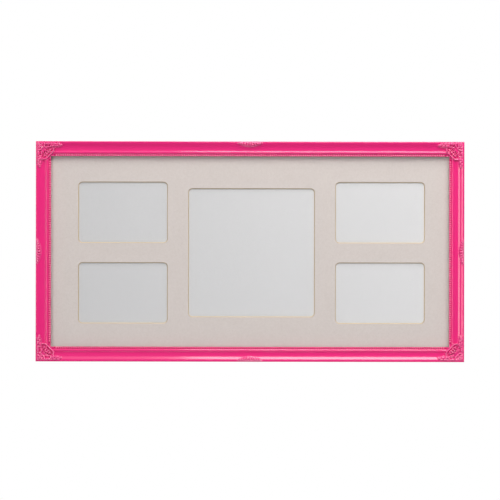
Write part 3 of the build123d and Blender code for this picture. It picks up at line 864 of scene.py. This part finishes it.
RING_FOOT = np.array([8.0, 0.0])  # corners of the wire before it is bent, across and up from the hinge
RING_TOP = np.array([0.0, 15.0])
RING_CUT = 2.6  # from a corner to the start of its bend
RING_WIRE = 1.0  # radius
RING_FALL = 0.7  # from the hinge to the wire that lies on the rail
RING_REACH = 12.706  # from the hinge to the top of the solid's ring
RING_LEAN = math.asin(RING_FALL / RING_REACH)
HINGE_DEPTH = -3.1  # in front of the wall


def bend(corner, before, after, cut, steps=8):
    """Round bend at a corner of the wire, which starts and ends this far from it."""
    corner, before, after = (np.array(p, float) for p in (corner, before, after))
    come = (before - corner) / np.linalg.norm(before - corner)
    leave = (after - corner) / np.linalg.norm(after - corner)
    half = math.acos(np.clip(come @ leave, -1, 1)) / 2
    middle = (come + leave) / np.linalg.norm(come + leave)
    radius = cut * math.tan(half)
    deepest = corner + middle * (radius / math.sin(half) - radius)
    return arc(corner + come * cut, deepest, corner + leave * cut, steps)


mirror_foot = RING_FOOT * (-1, 1)
wire_line = np.vstack(
    [
        bend(RING_FOOT, mirror_foot, RING_TOP, RING_CUT),
        bend(RING_TOP, RING_FOOT, mirror_foot, RING_CUT),
        bend(mirror_foot, RING_TOP, RING_FOOT, RING_CUT),
    ]
)
for hand, sign in (("left", -1), ("right", 1)):
    wire = bpy.data.curves.new(hand + "_hanger_wire", "CURVE")
    wire.dimensions = "3D"
    wire.bevel_depth = RING_WIRE * MM
    wire.bevel_resolution = 5
    spline = wire.splines.new("POLY")
    spline.points.add(len(wire_line) - 1)
    for point, (across, up) in zip(spline.points, wire_line):
        x = sign * HANGER_LINE + across
        y = HINGE_DEPTH - up * math.sin(RING_LEAN)
        point.co = (x * MM, y * MM, (HANGER_UP + up * math.cos(RING_LEAN)) * MM, 1.0)
    spline.use_cyclic_u = True
    wire.materials.append(steel)
    ring = bpy.data.objects.new(hand + "_hanger_wire", wire)
    bpy.context.scene.collection.objects.link(ring)
    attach(ring, "hanger_ring_" + hand)
    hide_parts("hanger_ring_" + hand)

# Wall bumpers: moulded pads with a soft rim

PAD_SEGMENTS = 40
PAD_RIGHT, PAD_UP = 308.0, 170.5
pad_edge = arc((4.55, 3.9), (4.3, 4.7), (3.5, 5.0), 8)
pad_section = np.vstack([[(4.95, 0.0), (4.9, 0.5)], pad_edge, [(1.6, 5.0), (1.2, 4.75)]])
pad_turns = np.linspace(0, 2 * math.pi, PAD_SEGMENTS, endpoint=False)
pad_verts, pad_faces = [], []
for x in (-PAD_RIGHT, PAD_RIGHT):
    for z in (-PAD_UP, PAD_UP):
        start = len(pad_verts)
        for radius, level in pad_section:
            depth = -WALL_GAP + level
            pad_verts += [(x + radius * math.cos(a), depth, z + radius * math.sin(a)) for a in pad_turns]
        rows = len(pad_section)
        for row in range(rows - 1):
            low, high = start + row * PAD_SEGMENTS, start + (row + 1) * PAD_SEGMENTS
            for n in range(PAD_SEGMENTS):
                after = (n + 1) % PAD_SEGMENTS
                pad_faces.append((low + n, low + after, high + after, high + n))
        pad_faces.append(tuple(start + n for n in range(PAD_SEGMENTS)))
        pad_faces.append(tuple(start + (rows - 1) * PAD_SEGMENTS + n for n in range(PAD_SEGMENTS)))
make_piece(
    "moulded_wall_pads", pad_verts, pad_faces, [rubber], ["wall_bumpers"], smooth=35.0
)

# Finishes of the solids that show as they are

ROLLED_EDGE = 0.18
pressed_nodes = [
    name
    for name in nodes
    if name.startswith(("turn_button_", "hanger_strap_")) and not nodes[name].hide_render
]
plain_finishes = {
    "glazing": clear_acrylic(),
    "insert_sheet": insert_paper(),
    "backing_board": hardboard(),
    "corner_v_nails": steel,
    **{name: steel for name in pressed_nodes},
}
for name, finish in plain_finishes.items():
    nodes[name].data.materials.clear()
    nodes[name].data.materials.append(finish)
for name in pressed_nodes:
    edge = nodes[name].modifiers.new("rolled_edge", "BEVEL")
    edge.width = ROLLED_EDGE * MM
    edge.segments = 2
    edge.limit_method = "ANGLE"

# Camera, straight on

PICTURE_WIDTH = 500  # in pixels
FRAME_PIXELS = 428.6  # width of the frame in the picture
PIXEL_MM = 2 * HALF_WIDTH / FRAME_PIXELS
LENS = 100.0
SENSOR = 36.0
FRONT_FACE = 20.0  # in front of the wall, where the scale holds
CAMERA_RISE = 1.6  # in pixels
CAMERA_ROLL = math.radians(0.1)
distance = PICTURE_WIDTH * PIXEL_MM * LENS / SENSOR + FRONT_FACE
camera_data = bpy.data.cameras.new("straight_on")
camera_data.lens = LENS
camera_data.sensor_width = SENSOR
camera = bpy.data.objects.new("straight_on", camera_data)
camera.location = (0.0, -distance * MM, CAMERA_RISE * PIXEL_MM * MM)
camera.rotation_euler = (math.pi / 2, -CAMERA_ROLL, 0.0)
bpy.context.scene.collection.objects.link(camera)
bpy.context.scene.camera = camera

# Light: a softbox overhead to the right, a weak one beside it, a tall one far off at the left and a fill
# behind, in a pale room


def softbox(name, place, aim, size, radiance, colour="#FFFFFF"):
    """A rectangular lamp with this brightness of its face, turned to a place. Lengths are in metres."""
    lamp = bpy.data.lights.new(name, "AREA")
    lamp.shape = "RECTANGLE"
    lamp.size, lamp.size_y = size
    lamp.energy = radiance * math.pi * size[0] * size[1]
    lamp.color = linear(colour)[:3]
    box = bpy.data.objects.new(name, lamp)
    box.location = place
    box.rotation_mode = "QUATERNION"
    box.rotation_quaternion = (Vector(aim) - Vector(place)).to_track_quat("-Z", "Y")
    box.visible_camera = False
    bpy.context.scene.collection.objects.link(box)


softbox("upper_softbox", (0.6, -1.28, 1.55), (0.6, -0.02, 0.0), (1.6, 1.38), 6.0, "#FFFBF3")
softbox("upper_fill", (-0.85, -1.28, 1.55), (-0.85, -0.02, 0.0), (1.3, 1.38), 0.64)
softbox("left_strip", (-5.2, -10.0, 0.0), (0.34, 0.0, 0.0), (2.6, 8.6), 4.3, "#FFF8EA")
softbox("back_fill", (0.0, 2.2, 1.0), (0.0, 0.0, 0.0), (2.0, 1.4), 2.6)

AMBIENT = 0.515
MIRRORED_AMBIENT = 0.13  # the same room as gloss shows it
UPWARD_GAIN = 0.36
world = bpy.data.worlds.new("white_room")
bpy.context.scene.world = world
world.use_nodes = True
room = world.node_tree
room.nodes.clear()
# The camera sees white. Gloss sees white walls behind and beside the frame, and a dim room in front of it.
view_way = add(room, "ShaderNodeTexCoord").outputs["Generated"]
way = add(room, "ShaderNodeSeparateXYZ", {"Vector": view_way})
behind = add(room, "ShaderNodeMapRange", {"Value": way.outputs["Y"], "From Min": 0.0, "From Max": 0.1})
beside = add(room, "ShaderNodeMapRange", {"Value": way.outputs["Y"], "From Min": -0.65, "From Max": 0.0})
above = add(room, "ShaderNodeMapRange", {"Value": way.outputs["Z"], "From Min": -0.6, "From Max": -0.1})
ceiling = add(
    room,
    "ShaderNodeMapRange",
    {"Value": way.outputs["Z"], "From Min": 0.5, "From Max": 0.95, "To Min": 1.0, "To Max": 0.15},
)
upper = add(room, "ShaderNodeMath", {0: above.outputs[0], 1: ceiling.outputs[0]}, operation="MULTIPLY")
walls = add(room, "ShaderNodeMath", {0: beside.outputs[0], 1: upper.outputs[0]}, operation="MULTIPLY")
around = add(room, "ShaderNodeMath", {0: behind.outputs[0], 1: walls.outputs[0]}, operation="MAXIMUM")
rays = add(room, "ShaderNodeLightPath")
mirrored = add(
    room,
    "ShaderNodeMath",
    {0: rays.outputs["Is Glossy Ray"], 1: rays.outputs["Is Transmission Ray"]},
    operation="MAXIMUM",
)
backdrop = add(
    room, "ShaderNodeMath", {0: mirrored.outputs[0], 1: around.outputs[0]}, operation="MULTIPLY"
)
seen = add(
    room, "ShaderNodeMath", {0: rays.outputs["Is Camera Ray"], 1: backdrop.outputs[0]}, operation="MAXIMUM"
)
dimmed = add(
    room,
    "ShaderNodeMath",
    {0: rays.outputs["Is Glossy Ray"], 1: MIRRORED_AMBIENT - AMBIENT, 2: AMBIENT},
    operation="MULTIPLY_ADD",
)
upward = add(room, "ShaderNodeMath", {0: way.outputs["Z"], 1: UPWARD_GAIN, 2: 1.0}, operation="MULTIPLY_ADD")
strength = add(room, "ShaderNodeMath", {0: dimmed.outputs[0], 1: upward.outputs[0]}, operation="MULTIPLY")
ambient = add(room, "ShaderNodeBackground", {"Color": linear("#F2F8FF"), "Strength": strength.outputs[0]})
white = add(room, "ShaderNodeBackground", {"Color": (1.0, 1.0, 1.0, 1.0), "Strength": 1.0})
sky = add(room, "ShaderNodeMixShader", {"Fac": seen.outputs[0], 1: ambient.outputs[0], 2: white.outputs[0]})
add(room, "ShaderNodeOutputWorld", {"Surface": sky.outputs[0]})

# Floor, well below the hanging frame, in metres
FLOOR_DROP = 1.2
FLOOR_HALF = 1.0
floor_mesh = bpy.data.meshes.new("studio_floor")
floor_mesh.from_pydata(
    [(x * FLOOR_HALF, y * FLOOR_HALF, -FLOOR_DROP) for x, y in ((-1, -1), (1, -1), (1, 1), (-1, 1))],
    [],
    [(0, 1, 2, 3)],
)
floor_mesh.materials.append(pale_floor())
floor = bpy.data.objects.new("studio_floor", floor_mesh)
bpy.context.scene.collection.objects.link(floor)

bpy.context.scene.view_settings.view_transform = "Standard"
